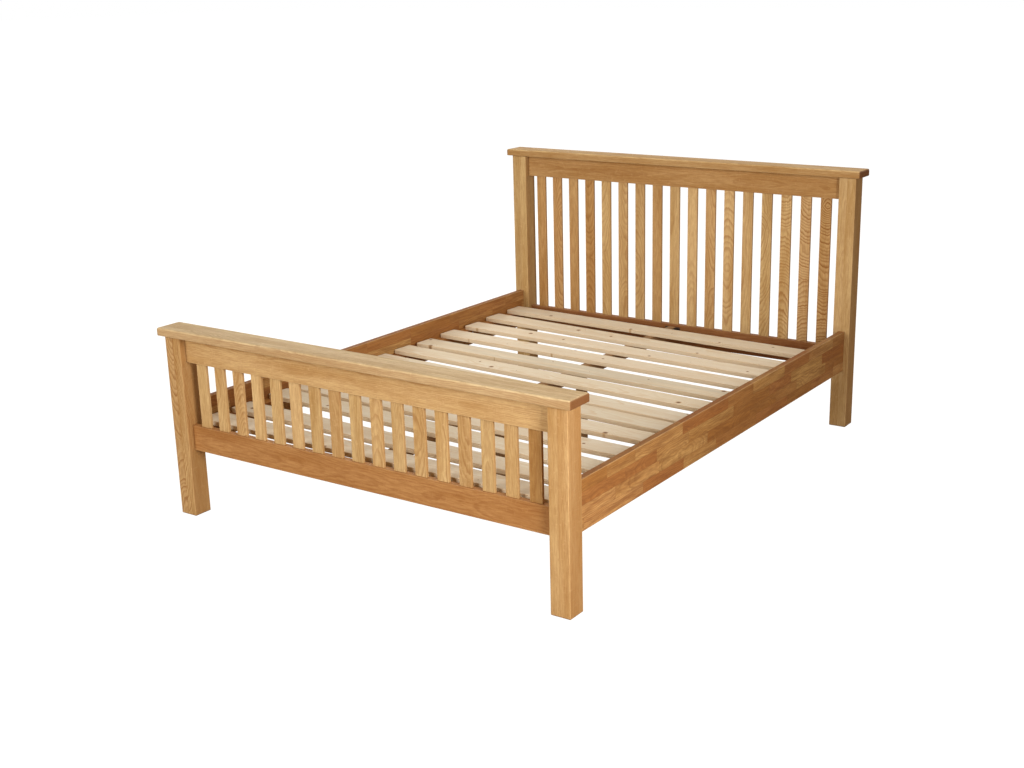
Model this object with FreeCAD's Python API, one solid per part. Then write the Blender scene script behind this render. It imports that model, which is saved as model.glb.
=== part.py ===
import FreeCAD, Part
import math
import os

# Slatted oak bed frame, millimetres. X runs across the bed, +Y towards the headboard, +Z up.
# The origin lies on the floor at the middle of the bed, and every size below is set once, here.

# Overall sizes, over the outer faces of the four legs
bed_width = 1630.0
bed_length = 2140.0

# Legs and posts
leg_side = 70.0
leg_edge_radius = 3.0
leg_foot_chamfer = 2.0
head_post_height = 1018.0
foot_leg_height = 645.0

# Caps that close the head- and footboard
cap_thickness = 28.0
cap_end_overhang = 20.0
cap_face_overhang = 16.0
cap_top_radius = 7.0
cap_corner_radius = 5.0
cap_under_radius = 3.0

# Rails of the head- and footboard
end_rail_thickness = 24.0
upper_rail_height = 91.0
lower_rail_height = 90.0
lower_rail_bottom = 239.0
foot_rail_setback = 23.0  # from the outer face of the foot legs
head_rail_setback = 23.0  # from the mattress side of the head posts
rail_edge_radius = 1.5

# Stub tenons on those rails
tenon_length = 25.0
tenon_thickness = 12.0
tenon_shoulder = 12.0
tenon_end_gap = 2.0
joint_clearance = 0.2

# Upright slats of the head- and footboard
upright_count = 17
upright_width = 45.0
upright_thickness = 10.0
upright_housing = 12.0
upright_top_gap = 1.0
upright_edge_bevel = 1.0

# Side rails
side_rail_height = 164.0
side_rail_thickness = 24.0
side_rail_bottom = 237.0
side_rail_inset = 20.0  # from the outer faces of the legs
side_rail_edge_radius = 2.0

# Hanger studs with a half-moon washer and a nut, one in each corner of the bed
stud_diameter = 8.0
stud_grip_in_leg = 35.0
stud_above_rail_bottom = 36.0
stud_from_inner_face = 10.0
stud_past_nut = 4.0
pocket_diameter = 34.0
pocket_from_rail_end = 44.0
pocket_floor_gap = 1.0
moon_washer_thickness = 8.0
moon_washer_depth = 14.0
moon_washer_clearance = 0.3
nut_across_flats = 13.0
nut_thickness = 6.5

# Dowels that locate the side rails and hold the caps
dowel_diameter = 10.0
dowel_end_gap = 1.0
rail_dowel_grip = 25.0
rail_dowel_heights = (80.0, 134.0)  # above the underside of the side rail
cap_dowel_grip = 16.0
cap_rail_dowel_count = 3

# Ledges screwed along the side rails, under the bed slats
ledge_width = 42.0
ledge_height = 25.0
ledge_end_gap = 4.0
ledge_edge_radius = 1.5
ledge_screw_count = 6
ledge_screw_end = 90.0
ledge_screw_diameter = 4.0
ledge_screw_head = 8.0
ledge_screw_bite = 16.0

# Bed slats, laid loose on the ledges and on the centre rail
slat_count = 13
slat_end_gap = 18.0  # to the side rails, where a slat lies in the middle
slat_width = 94.0
slat_thickness = 16.0
slat_corner_radius = 8.0
slat_edge_bevel = 1.5
slat_top_height = 336.0
slat_from_foot_rail = 18.0
slat_from_head_rail = 104.0
# How each slat lies, from foot to head: turned clockwise in degrees, off its even place, off the middle
slat_turn = (1.0, 1.2, 3.3, 1.3, 1.8, 3.7, 3.5, 3.1, 2.4, 2.6, 2.6, 4.0, 2.4)
slat_drift = (0, -15, -4, -20, -8, -10, -51, -45, -58, -42, -32, -31, 0)
slat_slide = (-11, -8, -13, -9, -12, -8, -14, -13, -2, -11, -2, -15, -15)

# Centre rail with its two hangers and two support legs
centre_rail_width = 34.0
centre_rail_height = 42.0
centre_rail_end_gap = 3.0
centre_rail_edge_radius = 1.5
support_leg_side = 34.0
support_leg_edge_radius = 2.0
support_leg_foot_chamfer = 1.0
support_leg_spread = 560.0
support_stud_diameter = 8.0
support_stud_in_rail = 34.0
support_stud_in_leg = 45.0
hanger_sheet = 2.0
hanger_seat_length = 36.0
hanger_lip = 16.0
hanger_side_clearance = 0.3
hanger_bend_radius = 3.0
hanger_screw_diameter = 4.0
hanger_screw_head = 8.0
hanger_screw_head_height = 2.4
hanger_screw_bite = 16.0
hanger_screw_edge = 9.0

# Places that follow from the sizes above
half_width = bed_width / 2
half_length = bed_length / 2
leg_inner_x = half_width - leg_side
leg_inner_y = half_length - leg_side
lower_rail_top = lower_rail_bottom + lower_rail_height
side_rail_top = side_rail_bottom + side_rail_height
side_rail_outer_x = half_width - side_rail_inset
side_rail_inner_x = side_rail_outer_x - side_rail_thickness
slat_length = 2 * (side_rail_inner_x - slat_end_gap)
slat_bottom_height = slat_top_height - slat_thickness
centre_rail_bottom = slat_bottom_height - centre_rail_height
stud_height = side_rail_bottom + stud_above_rail_bottom
stud_x = side_rail_inner_x + stud_from_inner_face
foot_rail_outer_y = -half_length + foot_rail_setback
head_rail_inner_y = leg_inner_y + head_rail_setback
foot_rail_mid_y = foot_rail_outer_y + end_rail_thickness / 2
head_rail_mid_y = head_rail_inner_y + end_rail_thickness / 2
foot_rail_inner_y = foot_rail_outer_y + end_rail_thickness
corners = [(side, end) for end in (-1, 1) for side in (-1, 1)]


def vec(x, y, z):
    return FreeCAD.Vector(x, y, z)


def block(x_range, y_range, z_range):
    """Box between two coordinates on each axis, given in either order."""
    low = [min(pair) for pair in (x_range, y_range, z_range)]
    size = [abs(pair[1] - pair[0]) for pair in (x_range, y_range, z_range)]
    return Part.makeBox(*size, vec(*low))


def rod(start, direction, length, diameter):
    """Cylinder from a point along a direction."""
    return Part.makeCylinder(diameter / 2, length, vec(*start), vec(*direction))


def edges_along(shape, axis):
    """Straight edges parallel to one axis, 0 for X, 1 for Y and 2 for Z."""
    found = []
    for edge in shape.Edges:
        if len(edge.Vertexes) != 2:
            continue
        step = edge.Vertexes[1].Point.sub(edge.Vertexes[0].Point)
        if abs(abs(step[axis]) - step.Length) < 1e-6:
            found.append(edge)
    return found


def eased(shape, axis, radius):
    """Rounds the long edges of a board."""
    return shape.makeFillet(radius, edges_along(shape, axis))


def bevelled(shape, axis, width):
    """Bevels the long edges of a slat."""
    return shape.makeChamfer(width, edges_along(shape, axis))


def save(name, *solids):
    """Writes one sub-part, as one solid or as a group of separate ones."""
    shape = solids[0] if len(solids) == 1 else Part.makeCompound(list(solids))
    for solid in shape.Solids:
        if not solid.isValid():
            raise ValueError(name + " is not a valid solid")
    shape.exportStep(os.path.join("parts", name + ".step"))


# Legs

def post(side, end, height):
    """One square leg with eased arrises and a chamfered foot."""
    body = block((side * leg_inner_x, side * half_width), (end * leg_inner_y, end * half_length), (0, height))
    body = eased(body, 2, leg_edge_radius)
    foot = [edge for edge in body.Edges if edge.BoundBox.ZMax < 1e-6]
    return body.makeChamfer(leg_foot_chamfer, foot)


def tenon_slot(side, mid_y, rail_bottom, rail_height):
    """Mortise in a leg for the stub tenon of an end rail."""
    reach = side * (leg_inner_x + tenon_length + tenon_end_gap)
    half = tenon_thickness / 2 + joint_clearance
    low = rail_bottom + tenon_shoulder - joint_clearance
    high = rail_bottom + rail_height - tenon_shoulder + joint_clearance
    return block((side * leg_inner_x, reach), (mid_y - half, mid_y + half), (low, high))


def leg_bores(side, end):
    """Blind holes in a leg for the stud and the dowels of a side rail."""
    start_y = end * leg_inner_y
    depth = stud_grip_in_leg + dowel_end_gap
    holes = [rod((side * stud_x, start_y, stud_height), (0, end, 0), depth, stud_diameter + 2 * joint_clearance)]
    for height in rail_dowel_heights:
        start = (side * stud_x, start_y, side_rail_bottom + height)
        depth = rail_dowel_grip + dowel_end_gap
        holes.append(rod(start, (0, end, 0), depth, dowel_diameter + 2 * joint_clearance))
    return holes


def corner_post(side, end):
    """A leg with its mortises and bores."""
    height = head_post_height if end > 0 else foot_leg_height
    mid_y = head_rail_mid_y if end > 0 else foot_rail_mid_y
    body = post(side, end, height)
    cuts = [tenon_slot(side, mid_y, lower_rail_bottom, lower_rail_height),
            tenon_slot(side, mid_y, height - upper_rail_height, upper_rail_height)]
    cuts += leg_bores(side, end)
    cuts += cap_dowel_bores([(side * (half_width - leg_side / 2), end * (half_length - leg_side / 2))], height)
    return body.cut(cuts)


# Caps and the dowels that hold them

def cap_dowel_places(end):
    """Dowel centres under a cap: one in each leg and a few along the upper rail."""
    leg_x = half_width - leg_side / 2
    leg_y = end * (half_length - leg_side / 2)
    mid_y = head_rail_mid_y if end > 0 else foot_rail_mid_y
    step = 2 * leg_inner_x / (cap_rail_dowel_count + 1)
    places = [(-leg_x, leg_y), (leg_x, leg_y)]
    places += [(-leg_inner_x + step * (i + 1), mid_y) for i in range(cap_rail_dowel_count)]
    return places


def cap_dowel_bores(places, height):
    """Holes for the cap dowels, above and below the joint."""
    depth = cap_dowel_grip + dowel_end_gap
    bore = dowel_diameter + 2 * joint_clearance
    return [rod((x, y, height - depth), (0, 0, 1), 2 * depth, bore) for x, y in places]


def cap(end):
    """Flat cap with rounded top edges, ends and corners, bored from below for its dowels."""
    height = head_post_height if end > 0 else foot_leg_height
    outer_y = end * (half_length + cap_face_overhang)
    inner_y = end * (leg_inner_y - cap_face_overhang)
    reach = half_width + cap_end_overhang
    body = block((-reach, reach), (outer_y, inner_y), (height, height + cap_thickness))
    body = eased(body, 2, cap_corner_radius)
    top = [edge for edge in body.Edges if edge.BoundBox.ZMin > height + cap_thickness - 1e-6]
    body = body.makeFillet(cap_top_radius, top)
    under = [edge for edge in body.Edges if edge.BoundBox.ZMax < height + 1e-6]
    body = body.makeFillet(cap_under_radius, under)
    return body.cut(cap_dowel_bores(cap_dowel_places(end), height))


def cap_dowels(end):
    """Plain dowels, half in the cap and half in the wood below."""
    height = head_post_height if end > 0 else foot_leg_height
    length = 2 * cap_dowel_grip
    return [rod((x, y, height - cap_dowel_grip), (0, 0, 1), length, dowel_diameter)
            for x, y in cap_dowel_places(end)]


# Head- and footboard rails and their upright slats

def upright_centres():
    """Centres across the bed, with equal gaps between the uprights and beside the legs."""
    gap = (2 * leg_inner_x - upright_count * upright_width) / (upright_count + 1)
    first = -leg_inner_x + gap + upright_width / 2
    return [first + i * (upright_width + gap) for i in range(upright_count)]


def end_rail(mid_y, bottom, height):
    """Board between two legs, with a stub tenon at each end."""
    half = end_rail_thickness / 2
    body = block((-leg_inner_x, leg_inner_x), (mid_y - half, mid_y + half), (bottom, bottom + height))
    body = eased(body, 0, rail_edge_radius)
    reach = leg_inner_x + tenon_length
    half = tenon_thickness / 2
    low = bottom + tenon_shoulder
    high = bottom + height - tenon_shoulder
    return body.fuse(block((-reach, reach), (mid_y - half, mid_y + half), (low, high))).removeSplitter()


def upright_housings(mid_y, edge_height, direction):
    """Slots for the uprights, cut from one edge of a rail into it."""
    half_x = upright_width / 2 + joint_clearance
    half_y = upright_thickness / 2 + joint_clearance
    z_range = (edge_height, edge_height + direction * upright_housing)
    return [block((x - half_x, x + half_x), (mid_y - half_y, mid_y + half_y), z_range)
            for x in upright_centres()]


def upper_rail(end):
    """Rail under the cap, housed below for the uprights and bored above for the dowels."""
    height = head_post_height if end > 0 else foot_leg_height
    mid_y = head_rail_mid_y if end > 0 else foot_rail_mid_y
    bottom = height - upper_rail_height
    body = end_rail(mid_y, bottom, upper_rail_height)
    cuts = upright_housings(mid_y, bottom, 1) + cap_dowel_bores(cap_dowel_places(end)[2:], height)
    return body.cut(cuts)


def lower_rail(end):
    """Rail level with the side rails, housed above for the uprights and drilled for the hanger."""
    mid_y = head_rail_mid_y if end > 0 else foot_rail_mid_y
    body = end_rail(mid_y, lower_rail_bottom, lower_rail_height)
    return body.cut(upright_housings(mid_y, lower_rail_top, -1) + hanger_pilots(end))


def upright(x, end):
    """Flat upright slat, its ends housed in both rails and standing on the lower one."""
    height = head_post_height if end > 0 else foot_leg_height
    mid_y = head_rail_mid_y if end > 0 else foot_rail_mid_y
    bottom = lower_rail_top - upright_housing
    top = height - upper_rail_height + upright_housing - upright_top_gap
    half_x = upright_width / 2
    half_y = upright_thickness / 2
    body = block((x - half_x, x + half_x), (mid_y - half_y, mid_y + half_y), (bottom, top))
    return bevelled(body, 2, upright_edge_bevel)


# Side rails and their fittings

def side_rail(side):
    """Side board with a round pocket, a stud hole and two dowel holes at each end."""
    body = block((side * side_rail_inner_x, side * side_rail_outer_x), (-leg_inner_y, leg_inner_y),
                 (side_rail_bottom, side_rail_top))
    body = eased(body, 1, side_rail_edge_radius)
    cuts = []
    for end in (-1, 1):
        cuts.append(pocket(side, end))
        start = (side * stud_x, end * leg_inner_y, stud_height)
        cuts.append(rod(start, (0, -end, 0), pocket_from_rail_end, stud_diameter + 2 * joint_clearance))
        for height in rail_dowel_heights:
            start = (side * stud_x, end * leg_inner_y, side_rail_bottom + height)
            depth = rail_dowel_grip + dowel_end_gap
            cuts.append(rod(start, (0, -end, 0), depth, dowel_diameter + 2 * joint_clearance))
    cuts += [ledge_screw_hole(side, y) for y in ledge_screw_places()]
    return body.cut(cuts)


def pocket_depth():
    """Deep enough for the corners of the nut, with a little air under them."""
    return stud_from_inner_face + nut_across_flats / math.sqrt(3) + pocket_floor_gap


def pocket(side, end):
    """Round pocket in the mattress side of a side rail, where the stud is tightened."""
    centre_y = end * (leg_inner_y - pocket_from_rail_end)
    start = (side * side_rail_inner_x, centre_y, stud_height)
    return rod(start, (side, 0, 0), pocket_depth(), pocket_diameter)


def moon_washer_face():
    """Distance from the rail's end to the flat face that the nut bears on."""
    return pocket_from_rail_end - pocket_diameter / 2 + moon_washer_clearance + moon_washer_thickness


def moon_washer(side, end):
    """Half-moon washer: round against the pocket's wall and flat under the nut."""
    centre_y = end * (leg_inner_y - pocket_from_rail_end)
    flat_y = end * (leg_inner_y - moon_washer_face())
    radius = pocket_diameter / 2 - moon_washer_clearance
    low = side * (stud_x - moon_washer_depth / 2)
    disc = rod((low, centre_y, stud_height), (side, 0, 0), moon_washer_depth, 2 * radius)
    behind = block((low, low + side * moon_washer_depth), (flat_y, centre_y - end * pocket_diameter),
                   (stud_height - pocket_diameter, stud_height + pocket_diameter))
    hole = rod((side * stud_x, end * leg_inner_y, stud_height), (0, -end, 0), pocket_from_rail_end,
               stud_diameter + 2 * joint_clearance)
    return disc.cut([behind, hole])


def stud(side, end):
    """Threaded stud from the leg through the rail's end and the washer to past the nut."""
    reach = moon_washer_face() + nut_thickness + stud_past_nut
    start = (side * stud_x, end * (leg_inner_y + stud_grip_in_leg), stud_height)
    return rod(start, (0, -end, 0), stud_grip_in_leg + reach, stud_diameter)


def stud_nut(side, end):
    """Hexagon nut, face to face with the flat of the half-moon washer."""
    radius = nut_across_flats / math.sqrt(3)
    start_y = end * (leg_inner_y - moon_washer_face())
    turns = [math.radians(60 * i) for i in range(7)]
    outline = [vec(side * stud_x + radius * math.cos(a), start_y, stud_height + radius * math.sin(a))
               for a in turns]
    body = Part.Face(Part.makePolygon(outline)).extrude(vec(0, -end * nut_thickness, 0))
    bore = stud_diameter + 2 * joint_clearance
    return body.cut(rod((side * stud_x, start_y, stud_height), (0, -end, 0), nut_thickness, bore))


def rail_dowels(side, end):
    """Two dowels that keep a side rail from turning on its stud."""
    length = 2 * rail_dowel_grip
    start_y = end * (leg_inner_y + rail_dowel_grip)
    return [rod((side * stud_x, start_y, side_rail_bottom + height), (0, -end, 0), length, dowel_diameter)
            for height in rail_dowel_heights]


# Ledges

def ledge_screw_places():
    """Screw centres along a ledge, evenly spaced between its end distances."""
    span = 2 * (leg_inner_y - ledge_screw_end)
    step = span / (ledge_screw_count - 1)
    return [-span / 2 + i * step for i in range(ledge_screw_count)]


def countersunk(start, direction, length, diameter, head):
    """Solid of a countersunk screw, its flat head at the start point."""
    drop = (head - diameter) / 2
    shank = rod(start, direction, length, diameter)
    cone = Part.makeCone(head / 2, diameter / 2, drop, vec(*start), vec(*direction))
    return shank.fuse(cone).removeSplitter()


def ledge_screw_solid(side, y, clearance):
    """A ledge screw, or with a clearance the hole that it sits in."""
    start = (side * (side_rail_inner_x - ledge_width), y, slat_bottom_height - ledge_height / 2)
    length = ledge_width + ledge_screw_bite + clearance
    return countersunk(start, (side, 0, 0), length, ledge_screw_diameter + 2 * clearance,
                       ledge_screw_head + 2 * clearance)


def ledge_screw_hole(side, y):
    """Countersunk hole through the ledge and into the side rail."""
    return ledge_screw_solid(side, y, joint_clearance)


def ledge(side):
    """Square batten that carries the ends of the bed slats."""
    reach = leg_inner_y - ledge_end_gap
    body = block((side * (side_rail_inner_x - ledge_width), side * side_rail_inner_x), (-reach, reach),
                 (slat_bottom_height - ledge_height, slat_bottom_height))
    body = eased(body, 1, ledge_edge_radius)
    return body.cut([ledge_screw_hole(side, y) for y in ledge_screw_places()])


# Bed slats

def slat_board():
    """A slat over the origin: rounded corners in plan, met by bevelled long edges."""
    half = slat_length / 2
    body = block((-half, half), (-slat_width / 2, slat_width / 2), (slat_bottom_height, slat_top_height))
    return eased(body, 2, slat_corner_radius).common(bevelled(body, 0, slat_edge_bevel))


def bed_slat(index):
    """One loose slat, laid with its own turn, drift and slide."""
    first_y = foot_rail_inner_y + slat_from_foot_rail + slat_width / 2
    last_y = head_rail_inner_y - slat_from_head_rail - slat_width / 2
    even_y = first_y + index / (slat_count - 1) * (last_y - first_y)
    place = index % len(slat_turn)
    board = slat_board()
    board.rotate(vec(0, 0, 0), vec(0, 0, 1), -slat_turn[place])
    board.translate(vec(slat_slide[place], even_y + slat_drift[place], 0))
    return board


# Centre rail

def centre_rail():
    """Rail under the middle of the slats, between the head and foot lower rails."""
    y_range = (foot_rail_inner_y + centre_rail_end_gap, head_rail_inner_y - centre_rail_end_gap)
    half = centre_rail_width / 2
    body = block((-half, half), y_range, (centre_rail_bottom, slat_bottom_height))
    body = eased(body, 1, centre_rail_edge_radius)
    bore = support_stud_diameter + 2 * joint_clearance
    depth = support_stud_in_rail + dowel_end_gap
    holes = [rod((0, y, centre_rail_bottom), (0, 0, 1), depth, bore) for y in support_leg_places()]
    return body.cut(holes)


def support_leg_places():
    """The two support legs, even about the middle of the bed."""
    return (-support_leg_spread / 2, support_leg_spread / 2)


def support_leg(y):
    """Square leg from the floor to the centre rail, chamfered at the foot and bored at the top."""
    half = support_leg_side / 2
    body = block((-half, half), (y - half, y + half), (0, centre_rail_bottom))
    body = eased(body, 2, support_leg_edge_radius)
    foot = [edge for edge in body.Edges if edge.BoundBox.ZMax < 1e-6]
    body = body.makeChamfer(support_leg_foot_chamfer, foot)
    depth = support_stud_in_leg + dowel_end_gap
    bore = support_stud_diameter + 2 * joint_clearance
    return body.cut(rod((0, y, centre_rail_bottom), (0, 0, -1), depth, bore))


def support_stud(y):
    """Double-ended stud that joins a support leg to the centre rail."""
    start = (0, y, centre_rail_bottom - support_stud_in_leg)
    return rod(start, (0, 0, 1), support_stud_in_leg + support_stud_in_rail, support_stud_diameter)


def hanger_wall_y(end):
    """Face of the lower rail that a hanger is screwed to."""
    return head_rail_inner_y if end > 0 else foot_rail_inner_y


def hanger(end):
    """Folded steel hanger: a U-shaped seat for the centre rail with a lip on each side."""
    inner = centre_rail_width / 2 + hanger_side_clearance
    outer = inner + hanger_sheet
    bottom = centre_rail_bottom - hanger_sheet
    wall_y = hanger_wall_y(end)
    front_y = wall_y - end * (hanger_sheet + hanger_seat_length)
    body = block((-outer, outer), (wall_y, front_y), (bottom, slat_bottom_height - hanger_sheet))
    bends = [edge for edge in edges_along(body, 1) if edge.BoundBox.ZMax < bottom + 1e-6]
    body = body.makeFillet(hanger_bend_radius, bends)
    room = block((-inner, inner), (wall_y + end * hanger_sheet, front_y - end * hanger_sheet),
                 (centre_rail_bottom, slat_top_height))
    lips = block((-outer - hanger_lip, outer + hanger_lip), (wall_y, wall_y - end * hanger_sheet),
                 (bottom + hanger_bend_radius, slat_bottom_height - hanger_sheet))
    body = body.fuse(lips).removeSplitter()
    holes = [rod((x, wall_y, z), (0, -end, 0), hanger_sheet, hanger_screw_diameter + 2 * joint_clearance)
             for x, z in hanger_screw_places()]
    return body.cut([room] + holes)


def hanger_screw_places():
    """Two screws in each lip of a hanger."""
    x = centre_rail_width / 2 + hanger_side_clearance + hanger_sheet + hanger_lip / 2
    heights = (centre_rail_bottom + hanger_screw_edge, slat_bottom_height - hanger_screw_edge)
    return [(side * x, z) for side in (-1, 1) for z in heights]


def hanger_pilots(end):
    """Pilot holes in a lower rail for the screws of its hanger."""
    wall_y = hanger_wall_y(end)
    depth = hanger_screw_bite + dowel_end_gap
    return [rod((x, wall_y, z), (0, end, 0), depth, hanger_screw_diameter + 2 * joint_clearance)
            for x, z in hanger_screw_places()]


def hanger_screws(end):
    """Pan-head screws, their heads flat on the lips."""
    face_y = hanger_wall_y(end) - end * hanger_sheet
    screws = []
    for x, z in hanger_screw_places():
        shank = rod((x, face_y, z), (0, end, 0), hanger_sheet + hanger_screw_bite, hanger_screw_diameter)
        head = rod((x, face_y, z), (0, -end, 0), hanger_screw_head_height, hanger_screw_head)
        screws.append(shank.fuse(head).removeSplitter())
    return screws


def build():
    """Makes every sub-part in its place and writes it."""
    for side, end in corners:
        name = ("head" if end > 0 else "foot") + ("_post_right" if side > 0 else "_post_left")
        save(name, corner_post(side, end))
    for name, end in (("head", 1), ("foot", -1)):
        save(name + "_cap", cap(end))
        save(name + "_upper_rail", upper_rail(end))
        save(name + "_lower_rail", lower_rail(end))
        save(name + "_hanger", hanger(end))
    for index, x in enumerate(upright_centres()):
        save("head_upright_%02d" % (index + 1), upright(x, 1))
    save("foot_uprights", *[upright(x, -1) for x in upright_centres()])
    for name, side in (("left", -1), ("right", 1)):
        save("side_rail_" + name, side_rail(side))
        save("ledge_" + name, ledge(side))
    for index in range(slat_count):
        save("bed_slat_%02d" % (index + 1), bed_slat(index))
    save("centre_rail", centre_rail())
    for name, y in zip(("foot", "head"), support_leg_places()):
        save("support_leg_" + name, support_leg(y))
    save("support_studs", *[support_stud(y) for y in support_leg_places()])
    save("rail_studs", *[stud(side, end) for side, end in corners])
    save("moon_washers", *[moon_washer(side, end) for side, end in corners])
    save("stud_nuts", *[stud_nut(side, end) for side, end in corners])
    save("rail_dowels", *[dowel for side, end in corners for dowel in rail_dowels(side, end)])
    save("cap_dowels", *(cap_dowels(1) + cap_dowels(-1)))
    save("ledge_screws", *[ledge_screw_solid(side, y, 0) for side in (-1, 1) for y in ledge_screw_places()])
    save("hanger_screws", *(hanger_screws(1) + hanger_screws(-1)))


os.makedirs("parts", exist_ok=True)
build()
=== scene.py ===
import math
import random

import bmesh
import bpy
from bpy.props import FloatProperty, FloatVectorProperty, IntProperty, PointerProperty
from mathutils import Matrix, Vector


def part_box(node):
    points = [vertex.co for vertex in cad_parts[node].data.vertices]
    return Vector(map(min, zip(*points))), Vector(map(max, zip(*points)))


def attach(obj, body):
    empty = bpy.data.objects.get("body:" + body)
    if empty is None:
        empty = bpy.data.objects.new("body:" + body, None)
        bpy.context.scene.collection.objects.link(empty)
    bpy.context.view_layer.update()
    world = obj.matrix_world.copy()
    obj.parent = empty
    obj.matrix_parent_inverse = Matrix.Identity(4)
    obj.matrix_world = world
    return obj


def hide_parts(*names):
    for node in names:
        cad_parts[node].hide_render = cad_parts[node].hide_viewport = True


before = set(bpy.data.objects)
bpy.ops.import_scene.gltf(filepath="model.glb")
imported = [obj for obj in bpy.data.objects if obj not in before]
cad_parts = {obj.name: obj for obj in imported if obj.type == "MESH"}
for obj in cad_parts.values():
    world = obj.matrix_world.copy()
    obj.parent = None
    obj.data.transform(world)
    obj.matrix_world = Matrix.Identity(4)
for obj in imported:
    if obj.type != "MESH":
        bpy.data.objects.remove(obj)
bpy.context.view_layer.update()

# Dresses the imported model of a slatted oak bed: each board gets a piece with eased edges and procedural timber.
# Everything is in metres, in the model's own frame: +X right seen from the foot, +Y to the headboard, +Z up.

bl_info = {
    "name": "Slatted Bed Frame",
    "version": (1, 0, 0),
    "blender": (4, 5, 0),
    "location": "View3D > Sidebar > Slatted Bed",
    "description": "Oak bed frame with slatted head- and footboard and loose pine slats",
    "category": "Add Mesh",
}

X, Y, Z = range(3)
BODY = "root"
UPRIGHTS = 17
BED_SLATS = 13
SHARP = 0.0005           # radius of an edge that is cut square
LEAST_CORNER = 0.0004    # radius below which an outline would fold on itself
WHOLE_BOARD = 2.02       # stave width, in half boards, that leaves a board in one piece
UNBUTTED = 50.0          # block length that leaves a stave in one piece

# Tint runs from below 0, bleached, through 0, golden, to 1 and above, deep and reddish. Figure is how boldly the
# rings show.
LEGS = {"foot_post_left": (0.35, 1.2), "foot_post_right": (0.32, 0.5), "head_post_left": (0.0, 0.5),
        "head_post_right": (0.04, 0.4)}
CAPS = {"head_cap": 0.0, "foot_cap": -0.17}
END_RAILS = {"head_upper_rail": 0.6, "head_lower_rail": 1.25, "foot_upper_rail": 0.15, "foot_lower_rail": 1.07}
HEAD_FIGURES = {6: 0.9, 7: 0.9, 12: 1.0, 14: 1.2, 15: 1.4, 16: 1.7, 17: 1.7}
HEAD_TINTS = {1: 0.5, 2: 0.5, 3: 0.5, 4: 0.5, 8: 0.5, 17: 0.5}
FOOT_TINTS = {17: 0.7}

# Lamps of the studio: side, place and what each is aimed at
LAMPS = {
    "front": (4.5, (-2.6, -8.6, 3.0), (0.0, 0.0, 0.5)),
    "side": (2.0, (4.0, -2.6, 1.6), (0.0, -4.2, 1.2)),
    "top": (3.2, (0.0, 1.3, 3.9), (0.0, 1.1, 0.4)),
    "back": (2.6, (-4.2, 3.8, 1.8), (-0.2, 0.4, 0.5)),
}
FLOOR_REACH = 60.0       # from the bed to the edge of the floor
FLOOR_WHITE = 1.32       # strength of the plain white that the camera sees in the floor
FLOOR_UNSEEN = 0.85      # share of the floor's colour that reflections leave out


# Sizes and colours that a user would change

def length(label, text, metres):
    """A size in metres."""
    return FloatProperty(name=label, description=text, default=metres, min=0.0, unit="LENGTH", precision=4)


def colour(label, text, *value):
    """A linear colour."""
    return FloatVectorProperty(name=label, description=text, default=value, subtype="COLOR", size=3, min=0.0, max=1.0)


def share(label, text, value, most=1.0):
    """A plain number from nought."""
    return FloatProperty(name=label, description=text, default=value, min=0.0, max=most)


class SLATTED_BED_PG_sizes(bpy.types.PropertyGroup):
    """Edges, staves and other sizes that the frame's boxes don't give."""

    leg_radius: length("Leg arris", "Radius on the four long arrises of a leg", 0.003)
    leg_chamfer: length("Foot chamfer", "Chamfer round the foot of a leg", 0.002)
    leg_stave: length("Leg stave", "Width of the staves that a leg is glued up from", 0.035)
    cap_corner: length("Cap corner", "Radius on the corners of a cap in plan", 0.005)
    cap_top: length("Cap top edge", "Radius round the top of a cap", 0.007)
    cap_under: length("Cap lower edge", "Radius round the underside of a cap", 0.003)
    cap_stave: length("Cap stave", "Width of the staves that a cap is glued up from", 0.034)
    rail_radius: length("End rail edge", "Radius on the long edges of a head- or footboard rail", 0.0015)
    tenon: length("Tenon", "Length of the stub tenons on those rails", 0.025)
    shoulder: length("Shoulder", "How far such a rail reaches into the legs at its shoulders", 0.001)
    upright_radius: length("Upright edge", "Radius on the long edges of an upright", 0.001)
    side_radius: length("Side rail edge", "Radius on the long edges of a side rail", 0.002)
    side_stave: length("Side rail stave", "Height of a row of staves in a side rail", 0.041)
    side_block: length("Side rail block", "Mean length of the finger-jointed blocks", 0.26)
    pocket_diameter: length("Pocket", "Diameter of the pocket round a half-moon washer", 0.034)
    pocket_depth: length("Pocket depth", "Depth of that pocket", 0.0185)
    pocket_play: length("Pocket play", "Gap between that washer and the pocket's wall", 0.0003)
    slat_length: length("Slat length", "Length of a bed slat", 1.506)
    slat_width: length("Slat width", "Width of a bed slat", 0.094)
    slat_corner: length("Slat corner", "Radius on the corners of a bed slat in plan", 0.008)
    slat_radius: length("Slat edge", "Radius on the long edges of a bed slat", 0.0015)
    support_radius: length("Support edge", "Radius on the centre rail and the support legs", 0.002)


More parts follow.
